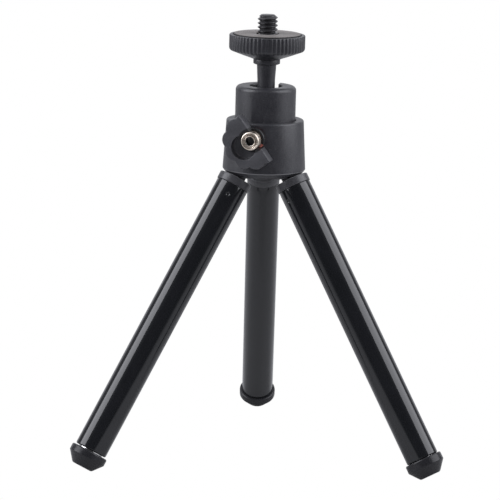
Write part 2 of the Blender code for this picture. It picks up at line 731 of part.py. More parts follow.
for index, azimuth in enumerate(LEG_AZIMUTHS, start=1):
    spoke = turn_z(azimuth)
    pivot_at = spoke @ Vector((PIVOT_R, 0, 0))

    # The pin lies across the leg, in the hub.
    pin = turned(
        f"hinge_pin_{index}",
        [
            (0, PIN_HALF),
            (PIN_R - FINE_EDGE, PIN_HALF),
            (PIN_R, PIN_HALF - FINE_EDGE),
            (PIN_R, -PIN_HALF),
            (0, -PIN_HALF),
        ],
        bright_steel,
        steps=16,
    )
    place(pin, axis, pivot_at, spoke @ turn_x(90))

    # The leg's own frame: the origin is on the pin and the leg runs down -Z.
    leg = empty(f"leg_pivot_{index}", axis, pivot_at, spoke @ turn_y(-SPLAY))

    plug_bore = TUBE_R - TUBE_WALL - CLEARANCE - PLUG_WALL
    cap = turned(
        f"leg_cap_{index}",
        [
            (0, -S_CAP_TOP),
            (CAP_R - EDGE, -S_CAP_TOP),
            (CAP_R, -S_CAP_TOP - EDGE),
            (CAP_R, -S_CAP_BOTTOM),
            (TUBE_R - TUBE_WALL - CLEARANCE, -S_CAP_BOTTOM),
            (TUBE_R - TUBE_WALL - CLEARANCE, -S_PLUG_END),
            (plug_bore, -S_PLUG_END),
            (plug_bore, -S_CAP_BOTTOM - PLUG_FLOOR),
            (0, -S_CAP_BOTTOM - PLUG_FLOOR),
        ],
        satin_plastic,
        steps=28,
    )
    place(cap, leg)
    tongue = box(
        f"tongue_{index}",
        (TONGUE_T, TONGUE_W, S_CAP_TOP + TONGUE_ROOT),
        (0, 0, -(S_CAP_TOP + TONGUE_ROOT) / 2),
        collection=cutters,
    )
    place(combine(cap, tongue, "UNION"), leg)
    knuckle = rod(f"knuckle_{index}", KNUCKLE_R, -TONGUE_W / 2, TONGUE_W / 2, steps=24, collection=cutters)
    place(combine(cap, knuckle, "UNION"), leg, rotation=turn_x(90))
    eye = rod(f"eye_{index}", PIN_HOLE_R, -TONGUE_W, TONGUE_W, steps=16, collection=cutters)
    place(combine(cap, eye), leg, rotation=turn_x(90))

    tube = turned(
        f"outer_tube_{index}",
        [
            (TUBE_R - TUBE_WALL, -S_TUBE_TOP),
            (TUBE_R, -S_TUBE_TOP),
            (TUBE_R, -S_TUBE_END + TUBE_END_EDGE),
            (TUBE_R - TUBE_END_ROLL, -S_TUBE_END),
            (TUBE_LIP_R, -S_TUBE_END),
            (TUBE_LIP_R, -S_TUBE_END + TUBE_LIP),
            (TUBE_R - TUBE_WALL, -S_TUBE_END + TUBE_LIP + EDGE),
        ],
        black_tube,
        steps=28,
        loop=True,
    )
    place(tube, leg)
    dimple = rod(
        f"dimple_{index}", DIMPLE_R, TUBE_R - DIMPLE_DEPTH, TUBE_R + OVERCUT, steps=12, collection=cutters
    )
    dimple_turn = turn_z(DIMPLE_ANGLES[index - 1]) @ turn_y(90)
    place(combine(tube, dimple), leg, (0, 0, -S_DIMPLE), dimple_turn)

    # The inner section slides down the outer tube.
    inner = turned(
        f"inner_tube_{index}",
        [
            (INNER_R, -S_INNER_TOP),
            (INNER_R, -S_INNER_END),
            (INNER_R - INNER_WALL, -S_INNER_END),
            (INNER_R - INNER_WALL, -S_INNER_TOP),
        ],
        bright_tube,
        steps=28,
        loop=True,
    )
    place(inner, leg)
    bush = turned(
        f"guide_bush_{index}",
        [
            (TUBE_R - TUBE_WALL - CLEARANCE, -S_BUSH_TOP),
            (TUBE_R - TUBE_WALL - CLEARANCE, -S_BUSH_END),
            (INNER_R + BUSH_FIT, -S_BUSH_END),
            (INNER_R + BUSH_FIT, -S_INNER_TOP + CLEARANCE),
            (INNER_R - INNER_WALL, -S_INNER_TOP + CLEARANCE),
            (INNER_R - INNER_WALL, -S_BUSH_TOP),
        ],
        satin_plastic,
        steps=28,
        loop=True,
    )
    place(bush, leg)
    foot = turned(
        f"foot_cap_{index}",
        [
            (0, -S_FOOT_TOP + FOOT_PLUG),
            (INNER_R - INNER_WALL - CLEARANCE, -S_FOOT_TOP + FOOT_PLUG),
            (INNER_R - INNER_WALL - CLEARANCE, -S_FOOT_TOP),
            (FOOT_R - EDGE, -S_FOOT_TOP),
            (FOOT_R, -S_FOOT_TOP - EDGE),
            (FOOT_R, -S_FOOT_RIM),
            (FOOT_END_R, -S_FOOT_END),
            (0, -S_FOOT_END),
        ],
        satin_plastic,
        steps=28,
    )
    place(foot, leg)
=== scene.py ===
"""The looks of the desktop camera tripod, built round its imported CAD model."""

import json
import math

import bmesh
import bpy
from mathutils import Matrix, Vector


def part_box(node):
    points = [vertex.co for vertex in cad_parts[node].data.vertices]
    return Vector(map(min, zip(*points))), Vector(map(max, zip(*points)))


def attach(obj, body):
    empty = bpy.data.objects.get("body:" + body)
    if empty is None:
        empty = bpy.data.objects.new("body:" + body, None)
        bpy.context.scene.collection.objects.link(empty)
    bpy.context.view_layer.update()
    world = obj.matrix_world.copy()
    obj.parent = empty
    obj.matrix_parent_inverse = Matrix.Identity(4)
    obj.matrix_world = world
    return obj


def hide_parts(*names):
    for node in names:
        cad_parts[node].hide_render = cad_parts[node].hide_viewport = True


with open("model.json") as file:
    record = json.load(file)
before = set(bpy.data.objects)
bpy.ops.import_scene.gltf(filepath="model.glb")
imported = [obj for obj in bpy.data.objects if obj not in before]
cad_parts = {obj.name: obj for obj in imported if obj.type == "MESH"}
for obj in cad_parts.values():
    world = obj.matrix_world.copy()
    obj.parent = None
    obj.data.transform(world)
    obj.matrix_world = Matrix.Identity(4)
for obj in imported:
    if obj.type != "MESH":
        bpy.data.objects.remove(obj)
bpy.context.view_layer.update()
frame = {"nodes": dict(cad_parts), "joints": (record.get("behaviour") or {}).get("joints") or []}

MM = 0.001
UP = Vector((0, 0, 1))
SHARP = 28  # degrees between faces from which an edge is shaded sharp
EDGE_STEPS = 3  # facets in a rounded edge
WELD = 1e-7  # metres
WEAR_RADIUS = 0.12  # mm, how far a rubbed edge reaches into a face
joints = {j["name"]: j for j in frame["joints"]}

# ---------------------------------------------------------------- frames of reference, from the record


def frame_of(origin, x, y, z):
    """A matrix whose columns are the local axes, at origin."""
    turn = Matrix((x, y, z)).transposed().to_4x4()
    return Matrix.Translation(Vector(origin)) @ turn


hub_at = Vector(joints["head_pan"]["pos_m"])
AXIS = Matrix.Translation(hub_at)

tilt_axis = Vector(joints["ball_tilt"]["axis"]).normalized()
ball_at = Vector(joints["ball_tilt"]["pos_m"])
notch_out = tilt_axis.cross(UP)
BALL = frame_of(ball_at, notch_out, UP.cross(notch_out), UP)

clamp_out = Vector(joints["clamp_turn"]["axis"]).normalized()
clamp_z = Vector(joints["clamp_turn"]["pos_m"]).z
CLAMP = frame_of((hub_at.x, hub_at.y, clamp_z), UP.cross(clamp_out), UP, clamp_out)

LEGS = {}
for i in (1, 2, 3):
    fold = joints[f"leg_fold_{i}"]
    along = Vector(joints[f"leg_extend_{i}"]["axis"]).normalized()
    across = Vector(fold["axis"]).normalized()
    LEGS[i] = frame_of(fold["pos_m"], across.cross(-along), across, -along)


def up(node, end):
    """Height of a node's lowest (0) or highest (1) point above the leg pivots, in mm."""
    return (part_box(node)[end].z - hub_at.z) / MM


def radius(node):
    """Half a node's width in X, in mm."""
    low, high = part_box(node)
    return (high.x - low.x) / 2 / MM


# ---------------------------------------------------------------- mesh helpers


def arc(centre_r, centre_z, size, start, end, count=5):
    """Points (r, z) along an arc; angles in degrees from +r."""
    return [
        (
            centre_r + size * math.cos(math.radians(start + (end - start) * i / count)),
            centre_z + size * math.sin(math.radians(start + (end - start) * i / count)),
        )
        for i in range(count + 1)
    ]


def rounded(points, sizes, count=4, loop=False):
    """The same outline with corners rounded: sizes gives each corner's radius, 0 for sharp."""
    out = []
    n = len(points)
    for i, (p, size) in enumerate(zip(points, sizes)):
        if size <= 0 or (not loop and i in (0, n - 1)):
            out.append(tuple(p))
            continue
        p = Vector(p)
        a = Vector(points[i - 1]) - p
        b = Vector(points[(i + 1) % n]) - p
        half = a.angle(b) / 2
        back = min(size / math.tan(half), a.length * 0.48, b.length * 0.48)
        size = back * math.tan(half)
        a, b = a.normalized(), b.normalized()
        centre = p + (a + b).normalized() * (size / math.sin(half))
        start, end = p + a * back - centre, p + b * back - centre
        turn = start.angle_signed(end)
        for k in range(count + 1):
            angle = -turn * k / count
            c, s = math.cos(angle), math.sin(angle)
            out.append((centre.x + start.x * c - start.y * s, centre.y + start.x * s + start.y * c))
    return out


def mesh_object(name, mesh, matrix, sharp=SHARP):
    """An object from a mesh in millimetres, placed in its frame and shaded smooth between sharp edges."""
    mesh.transform(Matrix.Scale(MM, 4))
    build = bmesh.new()
    build.from_mesh(mesh)
    bmesh.ops.remove_doubles(build, verts=build.verts, dist=WELD)
    bmesh.ops.dissolve_degenerate(build, edges=build.edges, dist=1e-8)
    bmesh.ops.recalc_face_normals(build, faces=build.faces)
    build.to_mesh(mesh)
    build.free()
    obj = bpy.data.objects.new(name, mesh)
    bpy.context.scene.collection.objects.link(obj)
    obj.matrix_world = matrix
    smooth(mesh, sharp)
    return obj


def smooth(mesh, sharp=SHARP):
    """Smooth shading, except across edges sharper than this many degrees."""
    mesh.polygons.foreach_set("use_smooth", [True] * len(mesh.polygons))
    mesh.set_sharp_from_angle(angle=math.radians(sharp))


def turned(name, points, matrix, steps=96, loop=False, shape=None, sharp=SHARP):
    """A profile of (r, z) points turned about the frame's Z. shape(r, z, angle) may move each point."""
    verts, faces = [], []
    rings = []
    for r, z in points:
        if r < 1e-6:
            rings.append([len(verts)] * steps)
            verts.append((0, 0, z))
            continue
        ring = []
        for j in range(steps):
            angle = math.tau * j / steps
            rr, zz = shape(r, z, angle) if shape else (r, z)
            ring.append(len(verts))
            verts.append((rr * math.cos(angle), rr * math.sin(angle), zz))
        rings.append(ring)
    pairs = list(zip(rings, rings[1:]))
    if loop:
        pairs.append((rings[-1], rings[0]))
    for a, b in pairs:
        for j in range(steps):
            k = (j + 1) % steps
            face = [a[j], b[j], b[k], a[k]]
            face = [v for n, v in enumerate(face) if v != face[n - 1]]
            if len(face) > 2:
                faces.append(face)
    mesh = bpy.data.meshes.new(name)
    mesh.from_pydata(verts, [], faces)
    return mesh_object(name, mesh, matrix, sharp)


def raised(name, outline, bottom, top, matrix, edge=0.0):
    """A flat outline raised from bottom to top, with its top edge rounded by edge."""
    rows = [(bottom, 0.0)]
    if edge > 0:
        for k in range(EDGE_STEPS + 1):
            angle = math.pi / 2 * k / EDGE_STEPS
            rows.append((top - edge + edge * math.sin(angle), edge * (1 - math.cos(angle))))
    else:
        rows.append((top, 0.0))
    n = len(outline)
    # Inward normals of the outline, so that the rounded edge follows its shape.
    inward = []
    for i, p in enumerate(outline):
        t = (Vector(outline[(i + 1) % n]) - Vector(outline[i - 1])).normalized()
        inward.append(Vector((-t.y, t.x)))
    verts, faces = [], []
    for z, inset in rows:
        for p, d in zip(outline, inward):
            verts.append((p[0] + d.x * inset, p[1] + d.y * inset, z))
    for row in range(len(rows) - 1):
        for i in range(n):
            j = (i + 1) % n
            faces.append([row * n + i, row * n + j, (row + 1) * n + j, (row + 1) * n + i])
    faces.append(list(range(n))[::-1])
    faces.append([(len(rows) - 1) * n + i for i in range(n)])
    mesh = bpy.data.meshes.new(name)
    mesh.from_pydata(verts, [], faces)
    return mesh_object(name, mesh, matrix)


def brick(name, size, centre, matrix):
    """A box, as a cutting tool or a block to join on."""
    mesh = bpy.data.meshes.new(name)
    build = bmesh.new()
    bmesh.ops.create_cube(build, size=1.0)
    bmesh.ops.scale(build, vec=Vector(size), verts=build.verts)
    bmesh.ops.translate(build, vec=Vector(centre), verts=build.verts)
    build.to_mesh(mesh)
    build.free()
    return mesh_object(name, mesh, matrix)


def rod(name, size, top, bottom, matrix, steps):
    """A plain round tool on the frame's Z."""
    return turned(name, [(0, top), (size, top), (size, bottom), (0, bottom)], matrix, steps=steps)


def combine(obj, tool, operation="DIFFERENCE"):
    """Cuts, joins or trims obj with tool, and removes tool."""
    cut = obj.modifiers.new("cut", "BOOLEAN")
    cut.operation = operation
    cut.solver = "EXACT"
    cut.object = tool
    bpy.context.view_layer.update()
    evaluated = obj.evaluated_get(bpy.context.evaluated_depsgraph_get())
    mesh = bpy.data.meshes.new_from_object(evaluated)
    obj.modifiers.clear()
    obj.data = mesh
    bpy.data.objects.remove(tool, do_unlink=True)
    return obj


def bevelled(obj, width, segments=3, angle=35):
    """Rounds obj's hard edges in the mesh."""
    mod = obj.modifiers.new("edges", "BEVEL")
    mod.width = width * MM
    mod.segments = segments
    mod.limit_method = "ANGLE"
    mod.angle_limit = math.radians(angle)
    mod.use_clamp_overlap = True
    mod.miter_outer = "MITER_ARC"
    bpy.context.view_layer.update()
    evaluated = obj.evaluated_get(bpy.context.evaluated_depsgraph_get())
    mesh = bpy.data.meshes.new_from_object(evaluated)
    obj.modifiers.clear()
    obj.data = mesh
    smooth(mesh)
    return obj


def spin(axis, degrees):
    """A turn about a frame's own axis."""
    return Matrix.Rotation(math.radians(degrees), 4, axis)


def shift(x, y, z):
    """A move in mm along a frame's own axes."""
    return Matrix.Translation(Vector((x, y, z)) * MM)


# ---------------------------------------------------------------- material helpers


class Surface:
    """A Principled material, and short calls that add its procedural detail."""

    def __init__(self, name, metallic=0.0, ior=1.5, coat=0.0, coat_roughness=0.05):
        self.mat = bpy.data.materials.new(name)
        self.mat.use_nodes = True
        self.tree = self.mat.node_tree
        self.shader = self.tree.nodes["Principled BSDF"]
        self.shader.inputs["Metallic"].default_value = metallic
        self.shader.inputs["IOR"].default_value = ior
        self.shader.inputs["Coat Weight"].default_value = coat
        self.shader.inputs["Coat Roughness"].default_value = coat_roughness
        self.place = self.node("ShaderNodeTexCoord").outputs["Object"]
        self.normal = None

    def node(self, kind, **settings):
        node = self.tree.nodes.new(kind)
        for key, value in settings.items():
            setattr(node, key, value)
        return node

    def link(self, a, b):
        self.tree.links.new(a, b)

    def put(self, socket, value):
        if isinstance(value, bpy.types.NodeSocket):
            self.link(value, socket)
        else:
            socket.default_value = value

    def scaled(self, x, y, z):
        node = self.node("ShaderNodeMapping")
        node.inputs["Scale"].default_value = (x, y, z)
        self.link(self.place, node.inputs["Vector"])
        return node.outputs["Vector"]

    def noise(self, size, detail=3.0, rough=0.5, stretch=(1, 1, 1), distortion=0.0):
        """Noise whose features are about size mm across."""
        node = self.node("ShaderNodeTexNoise")
        node.inputs["Scale"].default_value = 1 / (size * MM)
        node.inputs["Detail"].default_value = detail
        node.inputs["Roughness"].default_value = rough
        node.inputs["Distortion"].default_value = distortion
        self.link(self.scaled(*stretch), node.inputs["Vector"])
        return node.outputs["Fac"]

    def cells(self, size, feature="F1"):
        """Distance to the nearest of scattered points about size mm apart."""
        node = self.node("ShaderNodeTexVoronoi", feature=feature)
        node.inputs["Scale"].default_value = 1 / (size * MM)
        self.link(self.place, node.inputs["Vector"])
        return node.outputs["Distance"]

    def math(self, operation, a, b=0.0, clamp=False):
        node = self.node("ShaderNodeMath", operation=operation, use_clamp=clamp)
        self.put(node.inputs[0], a)
        self.put(node.inputs[1], b)
        return node.outputs[0]

    def ranged(self, value, low, high, to_low=0.0, to_high=1.0):
        node = self.node("ShaderNodeMapRange")
        self.put(node.inputs["Value"], value)
        node.inputs["From Min"].default_value = low
        node.inputs["From Max"].default_value = high
        node.inputs["To Min"].default_value = to_low
        node.inputs["To Max"].default_value = to_high
        return node.outputs["Result"]

    def mix(self, fac, a, b):
        node = self.node("ShaderNodeMix", data_type="RGBA")
        self.put(node.inputs[0], fac)
        for socket, colour in ((node.inputs[6], a), (node.inputs[7], b)):
            self.put(socket, colour if isinstance(colour, bpy.types.NodeSocket) else (*colour, 1.0))
        return node.outputs[2]

    def from_axis(self):
        """Distance from the object's Z axis, in mm."""
        split = self.node("ShaderNodeSeparateXYZ")
        self.link(self.place, split.inputs[0])
        x = self.math("MULTIPLY", split.outputs[0], split.outputs[0])
        y = self.math("MULTIPLY", split.outputs[1], split.outputs[1])
        return self.math("MULTIPLY", self.math("SQRT", self.math("ADD", x, y)), 1 / MM)

    def along_axis(self):
        split = self.node("ShaderNodeSeparateXYZ")
        self.link(self.place, split.inputs[0])
        return self.math("MULTIPLY", split.outputs[2], 1 / MM)

    def edges(self, size):
        """1 on edges and corners, 0 on smooth faces: where handling wears the surface."""
        soft = self.node("ShaderNodeBevel", samples=4)
        soft.inputs["Radius"].default_value = size * MM
        geometry = self.node("ShaderNodeNewGeometry")
        dot = self.node("ShaderNodeVectorMath", operation="DOT_PRODUCT")
        self.link(soft.outputs[0], dot.inputs[0])
        self.link(geometry.outputs["Normal"], dot.inputs[1])
        return self.ranged(dot.outputs["Value"], 0.995, 0.88)

    def bump(self, height, distance, strength=1.0):
        """Adds relief: height from 0 to 1 stands for distance mm."""
        node = self.node("ShaderNodeBump")
        node.inputs["Strength"].default_value = strength
        node.inputs["Distance"].default_value = distance * MM
        self.link(height, node.inputs["Height"])
        if self.normal is None:
            self.normal = self.node("ShaderNodeBevel", samples=4).outputs[0]
            self.normal.node.inputs["Radius"].default_value = WEAR_RADIUS * MM
        self.link(self.normal, node.inputs["Normal"])
        self.normal = node.outputs["Normal"]

    def done(self, colour, roughness):
        self.put(self.shader.inputs["Base Color"], colour)
        self.put(self.shader.inputs["Roughness"], roughness)
        if self.normal is not None:
            self.link(self.normal, self.shader.inputs["Normal"])
        return self.mat


def moulded_plastic(name, dark, light, rough, grain, worn, dark_to=0.0, highlight_ring=None, ior=1.5):
    """Moulded black plastic: fine spark texture, uneven sheen, faint scuffs, and edges rubbed smoother.

    dark and light are the two base tones, rough the mean roughness, grain the texture's size in mm.
    Inside dark_to mm from the object's axis the plastic is painted blacker, as painted shade.
    highlight_ring is a height and a radius, where a thin pale ring is painted as a painted highlight.
    """
    s = Surface(name, ior=ior)
    cloud = s.noise(4.0, 4, 0.55)
    fine = s.noise(0.35, 3, 0.6)
    speck = s.ranged(s.noise(0.7, 2, 0.4), 0.70, 0.78)
    scuff = s.ranged(s.noise(3.2, 5, 0.7, (1, 1, 0.25), 0.6), 0.60, 0.74)
    edge = s.math("MULTIPLY", s.edges(0.28), s.ranged(s.noise(0.9, 3), 0.30, 0.62))
    colour = s.mix(s.ranged(cloud, 0.3, 0.7), dark, light)
    colour = s.mix(s.ranged(fine, 0.35, 0.75, 0.0, 0.25), colour, worn)
    colour = s.mix(s.math("MULTIPLY", speck, 0.35), colour, worn)
    colour = s.mix(s.math("MULTIPLY", edge, 0.55), colour, worn)
    # Painted shade: within dark_to mm of the axis the plastic is painted blacker.
    if dark_to:
        colour = s.mix(s.ranged(s.from_axis(), dark_to + 0.1, dark_to), colour, (0.007, 0.007, 0.008))
    if highlight_ring:
        # A painted highlight: a thin pale ring painted round the edge at this height along the axis,
        # outside this radius.
        height, out_from = highlight_ring
        near = s.ranged(s.math("ABSOLUTE", s.math("SUBTRACT", s.along_axis(), height)), 0.16, 0.1)
        near = s.math("MULTIPLY", near, s.ranged(s.from_axis(), out_from, out_from + 0.2))
        colour = s.mix(near, colour, (0.13, 0.13, 0.135))
    roughness = s.ranged(cloud, 0.3, 0.7, rough - 0.05, rough + 0.05)
    roughness = s.math("SUBTRACT", roughness, s.math("MULTIPLY", scuff, 0.08))
    roughness = s.math("SUBTRACT", roughness, s.math("MULTIPLY", edge, 0.12), clamp=True)
    s.bump(s.cells(grain, "SMOOTH_F1"), 0.012)
    s.bump(fine, 0.01)
    s.bump(cloud, 0.03)
    return s.done(colour, roughness)


def gloss_tube(name):
    """Gloss black coated tube: faint lines along it from drawing, smudges, dust and fine scratches."""
    s = Surface(name, ior=1.5)
    lines = s.noise(0.5, 3, 0.6, (1, 1, 0.02))
    smudge = s.noise(6.0, 4, 0.6, (1, 1, 0.5), 0.8)
    dust = s.ranged(s.noise(0.45, 2, 0.5), 0.78, 0.84)
    scratch = s.ranged(s.noise(0.8, 6, 0.7, (1, 1, 0.06), 0.3), 0.68, 0.74)
    edge = s.edges(0.25)
    colour = s.mix(s.ranged(smudge, 0.3, 0.7), (0.0065, 0.007, 0.008), (0.0085, 0.009, 0.0105))
    colour = s.mix(s.math("MULTIPLY", dust, 0.25), colour, (0.09, 0.09, 0.092))
    colour = s.mix(s.math("MULTIPLY", scratch, 0.12), colour, (0.05, 0.05, 0.052))
    colour = s.mix(s.math("MULTIPLY", edge, 0.35), colour, (0.11, 0.11, 0.115))
    roughness = s.ranged(smudge, 0.3, 0.7, 0.07, 0.12)
    roughness = s.math("ADD", roughness, s.math("MULTIPLY", dust, 0.25), clamp=True)
    s.bump(lines, 0.0015)
    s.bump(smudge, 0.012)
    return s.done(colour, roughness)


def black_oxide(name):
    """Blackened steel: thin oil sheen, uneven black, crests rubbed towards bare metal."""
    s = Surface(name, metallic=0.3)
    cloud = s.noise(1.6, 4, 0.6)
    fine = s.noise(0.18, 3, 0.6)
    edge = s.math("MULTIPLY", s.edges(0.12), s.ranged(s.noise(0.6, 3), 0.35, 0.6))
    colour = s.mix(s.ranged(cloud, 0.3, 0.7), (0.020, 0.020, 0.022), (0.038, 0.037, 0.039))
    colour = s.mix(s.math("MULTIPLY", edge, 0.5), colour, (0.16, 0.155, 0.15))
    roughness = s.ranged(fine, 0.3, 0.7, 0.22, 0.34)
    s.bump(fine, 0.006)
    return s.done(colour, roughness)


def turned_steel(name, light, groove, pitch, depth, lines=(), hole=0.0):
    """Bright steel from the lathe: rings cut by the tool, a warm tint, and grooves darker in patches.

    lines are the radii of deeper turned lines, each painted dark as painted shade in its groove, and hole
    that of the centre hole, painted dark inside as painted shade, in mm.
    """
    s = Surface(name, metallic=1.0)
    r = s.from_axis()
    z = s.along_axis()
    wobble = s.math("MULTIPLY", s.noise(2.5, 1), 0.12)
    rings = s.math("SINE", s.math("MULTIPLY", s.math("ADD", s.math("ADD", r, z), wobble), math.tau / pitch))
    rings = s.ranged(rings, -1, 1)
    stain = s.noise(1.6, 3, 0.5)
    low = s.math("MULTIPLY", s.ranged(rings, 0.5, 0.0), s.ranged(stain, 0.25, 0.55))
    colour = s.mix(s.math("MULTIPLY", low, 0.8), light, groove)
    # Painted shade: a dark line at each of these radii.
    for line in lines:
        near = s.ranged(s.math("ABSOLUTE", s.math("SUBTRACT", r, line)), 0.12, 0.05)
        colour = s.mix(s.math("MULTIPLY", near, 0.85), colour, groove)
    # Painted shade: the centre hole painted dark inside.
    if hole:
        colour = s.mix(s.ranged(r, hole + 0.06, hole), colour, (0.22, 0.215, 0.21))
    roughness = s.ranged(stain, 0.3, 0.7, 0.26, 0.36)
    s.bump(rings, depth)
    return s.done(colour, roughness)


def bright_tube(name):
    """Bright drawn tube with sliding marks along it."""
    s = Surface(name, metallic=1.0)
    lines = s.noise(0.35, 4, 0.6, (1, 1, 0.015))
    smudge = s.noise(4.0, 4, 0.6)
    colour = s.mix(s.ranged(lines, 0.3, 0.7), (0.62, 0.62, 0.61), (0.76, 0.76, 0.75))
    colour = s.mix(s.math("MULTIPLY", s.ranged(smudge, 0.5, 0.8), 0.3), colour, (0.45, 0.44, 0.42))
    roughness = s.ranged(smudge, 0.3, 0.7, 0.14, 0.26)
    s.bump(lines, 0.006)
    return s.done(colour, roughness)


def pad_rubber(name):
    """Ground rubber pad: pressed granules, pale specks, a dusty sheen, and painted shade round its rim."""
    s = Surface(name, ior=1.42)
    s.shader.inputs["Sheen Weight"].default_value = 0.15
    s.shader.inputs["Sheen Roughness"].default_value = 0.4
    grains = s.cells(0.4, "F1")
    cloud = s.noise(2.2, 4, 0.6)
    speck = s.ranged(s.noise(0.5, 2, 0.5), 0.66, 0.74)
    dark_speck = s.ranged(s.noise(0.6, 2, 0.5, (1.1, 0.9, 1)), 0.36, 0.30)
    colour = s.mix(s.ranged(cloud, 0.3, 0.7), (0.062, 0.050, 0.042), (0.084, 0.070, 0.060))
    colour = s.mix(s.math("MULTIPLY", speck, 0.5), colour, (0.14, 0.135, 0.13))
    colour = s.mix(s.math("MULTIPLY", dark_speck, 0.6), colour, (0.02, 0.019, 0.018))
    # Painted shade: the pad is painted black round its rim, in the gap against the wheel.
    rim = radius("wheel_pad")
    colour = s.mix(s.ranged(s.from_axis(), rim - 0.4, rim - 0.2), colour, (0.006, 0.006, 0.006))
    roughness = s.ranged(cloud, 0.3, 0.7, 0.5, 0.66)
    s.bump(grains, 0.02)
    s.bump(cloud, 0.05)
    return s.done(colour, roughness)


def red_washer(name):
    """Red vulcanised fibre: pressed fibres, darker where oil has soaked in."""
    s = Surface(name)
    fibre = s.noise(0.25, 5, 0.7, (1, 1, 3))
    cloud = s.noise(1.2, 3)
    colour = s.mix(s.ranged(fibre, 0.3, 0.7), (0.55, 0.14, 0.11), (0.74, 0.28, 0.22))
    colour = s.mix(s.ranged(cloud, 0.5, 0.75, 0.0, 0.5), colour, (0.22, 0.04, 0.03))
    s.bump(fibre, 0.02)
    return s.done(colour, s.ranged(cloud, 0.3, 0.7, 0.5, 0.7))


def turned_brass(name):
    """Turned brass, dull in patches, with the tool's rings along it."""
    s = Surface(name, metallic=1.0)
    stain = s.noise(1.0, 4, 0.6)
    colour = s.mix(s.ranged(stain, 0.35, 0.7), (0.72, 0.52, 0.24), (0.5, 0.33, 0.14))
    rings = s.ranged(s.math("SINE", s.math("MULTIPLY", s.along_axis(), math.tau / 0.3)), -1, 1)
    s.bump(rings, 0.008)
    return s.done(colour, s.ranged(stain, 0.3, 0.7, 0.22, 0.42))


BLACK = ((0.0105, 0.0105, 0.0135), (0.0145, 0.0145, 0.018))
SATIN_BLACK = ((0.0105, 0.0105, 0.0135), (0.015, 0.015, 0.0185))
WHEEL_BLACK = ((0.0125, 0.0125, 0.0155), (0.018, 0.018, 0.0215))
# Painted light: the hub is black plastic painted lighter, for the light its front band catches from below.
HUB_PAINTED_LIGHT = ((0.055, 0.055, 0.059), (0.068, 0.068, 0.073))
# Painted light: the knob is black plastic painted lighter, for the light on its front faces.
KNOB_PAINTED_LIGHT = ((0.032, 0.032, 0.036), (0.042, 0.042, 0.047))
# Painted light: the leg plugs are black plastic painted lighter, so that their tops look lit.
CAP_PAINTED_LIGHT = ((0.022, 0.022, 0.025), (0.030, 0.030, 0.033))
FOOT_BLACK = ((0.008, 0.008, 0.0095), (0.012, 0.012, 0.014))
RUBBED = (0.10, 0.10, 0.105)
COLLAR_CHAMFER = 1.1  # height of the chamfer round the collar's foot
CAP_TOP = -3.8  # the plug's shoulder, below the leg's pivot

PLASTIC = moulded_plastic("moulded_black", *BLACK, 0.39, 0.22, RUBBED)
SATIN = moulded_plastic("satin_black", *SATIN_BLACK, 0.34, 0.3, (0.065, 0.065, 0.068))
WHEEL_FINISH = moulded_plastic("wheel_black", *WHEEL_BLACK, 0.37, 0.26, (0.07, 0.07, 0.073))
# The collar gets a painted highlight: a pale line round the top of its foot chamfer.
COLLAR_FINISH = moulded_plastic(
    "collar_black", *BLACK, 0.39, 0.22, RUBBED, highlight_ring=(up("head_collar", 0) + COLLAR_CHAMFER, 9.0)
)
HUB_FINISH = moulded_plastic("hub_black", *HUB_PAINTED_LIGHT, 0.46, 0.22, (0.09, 0.09, 0.095))
# The knob is painted blacker within 3.9 mm of its axis: painted shade in its pocket round the stud.
KNOB_FINISH = moulded_plastic("knob_black", *KNOB_PAINTED_LIGHT, 0.40, 0.3, (0.11, 0.11, 0.115), dark_to=3.9)
# The plugs get a painted highlight: a pale line round their top edge.
CAP_FINISH = moulded_plastic("plug_black", *CAP_PAINTED_LIGHT, 0.38, 0.3, RUBBED, highlight_ring=(CAP_TOP - 0.05, 2.6))
FOOT_FINISH = moulded_plastic("foot_black", *FOOT_BLACK, 0.27, 0.3, (0.05, 0.05, 0.052), ior=1.34)
TUBE = gloss_tube("gloss_black_tube")
OXIDE = black_oxide("black_oxide")
# The stud gets painted shade at its two turned grooves and inside its centre hole.
STEEL = turned_steel(
    "turned_steel", (0.94, 0.84, 0.72), (0.13, 0.085, 0.06), 0.5, 0.035, lines=(1.78, 2.25), hole=1.42
)
PIN_STEEL = turned_steel("pin_steel", (0.6, 0.6, 0.59), (0.25, 0.23, 0.2), 0.25, 0.006)
INNER_TUBE = bright_tube("bright_tube")
RUBBER = pad_rubber("pad_rubber")
RED = red_washer("red_fibre")
BRASS = turned_brass("turned_brass")


def finish_piece(obj, body, slot, mat, *nodes):
    """Gives a piece its material and its body, and hides the CAD nodes it stands for."""
    obj.data.materials.clear()
    obj.data.materials.append(mat)
    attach(obj, body)
    if nodes:
        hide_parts(*nodes)
    return obj


# ---------------------------------------------------------------- hub

HUB_TOP = up("leg_hub", 1)
HUB_BOTTOM = up("leg_hub", 0)
HUB_R = 10.6
HUB_FLAT = 8.5  # from the axis to the flat opposite each leg
HUB_WELL_R = 3.9
BORE_R = 2.1  # the pivot screw's bore through hub, collar and washer
PIN_R = 1.1
FORK_FROM = 5.6  # where each leg's fork slot starts, from the axis
FORK_WIDTH = 4.7
FORK_TOP = 2.4
FORK_HEIGHT = 6.1
LEG_AZIMUTHS = (90, 210, 330)
THROUGH = 22  # long enough to cut right through
hub = turned(
    "hub_moulding",
    rounded(
        [
            (HUB_R, HUB_TOP),
            (HUB_R, HUB_BOTTOM),
            (HUB_WELL_R, HUB_BOTTOM),
            (HUB_WELL_R, 0.0),
            (BORE_R, 0.0),
            (BORE_R, HUB_TOP),
        ],
        [0.3, 0.35, 0.25, 0, 0, 0],
        loop=True,
    ),
    AXIS,
    loop=True,
)
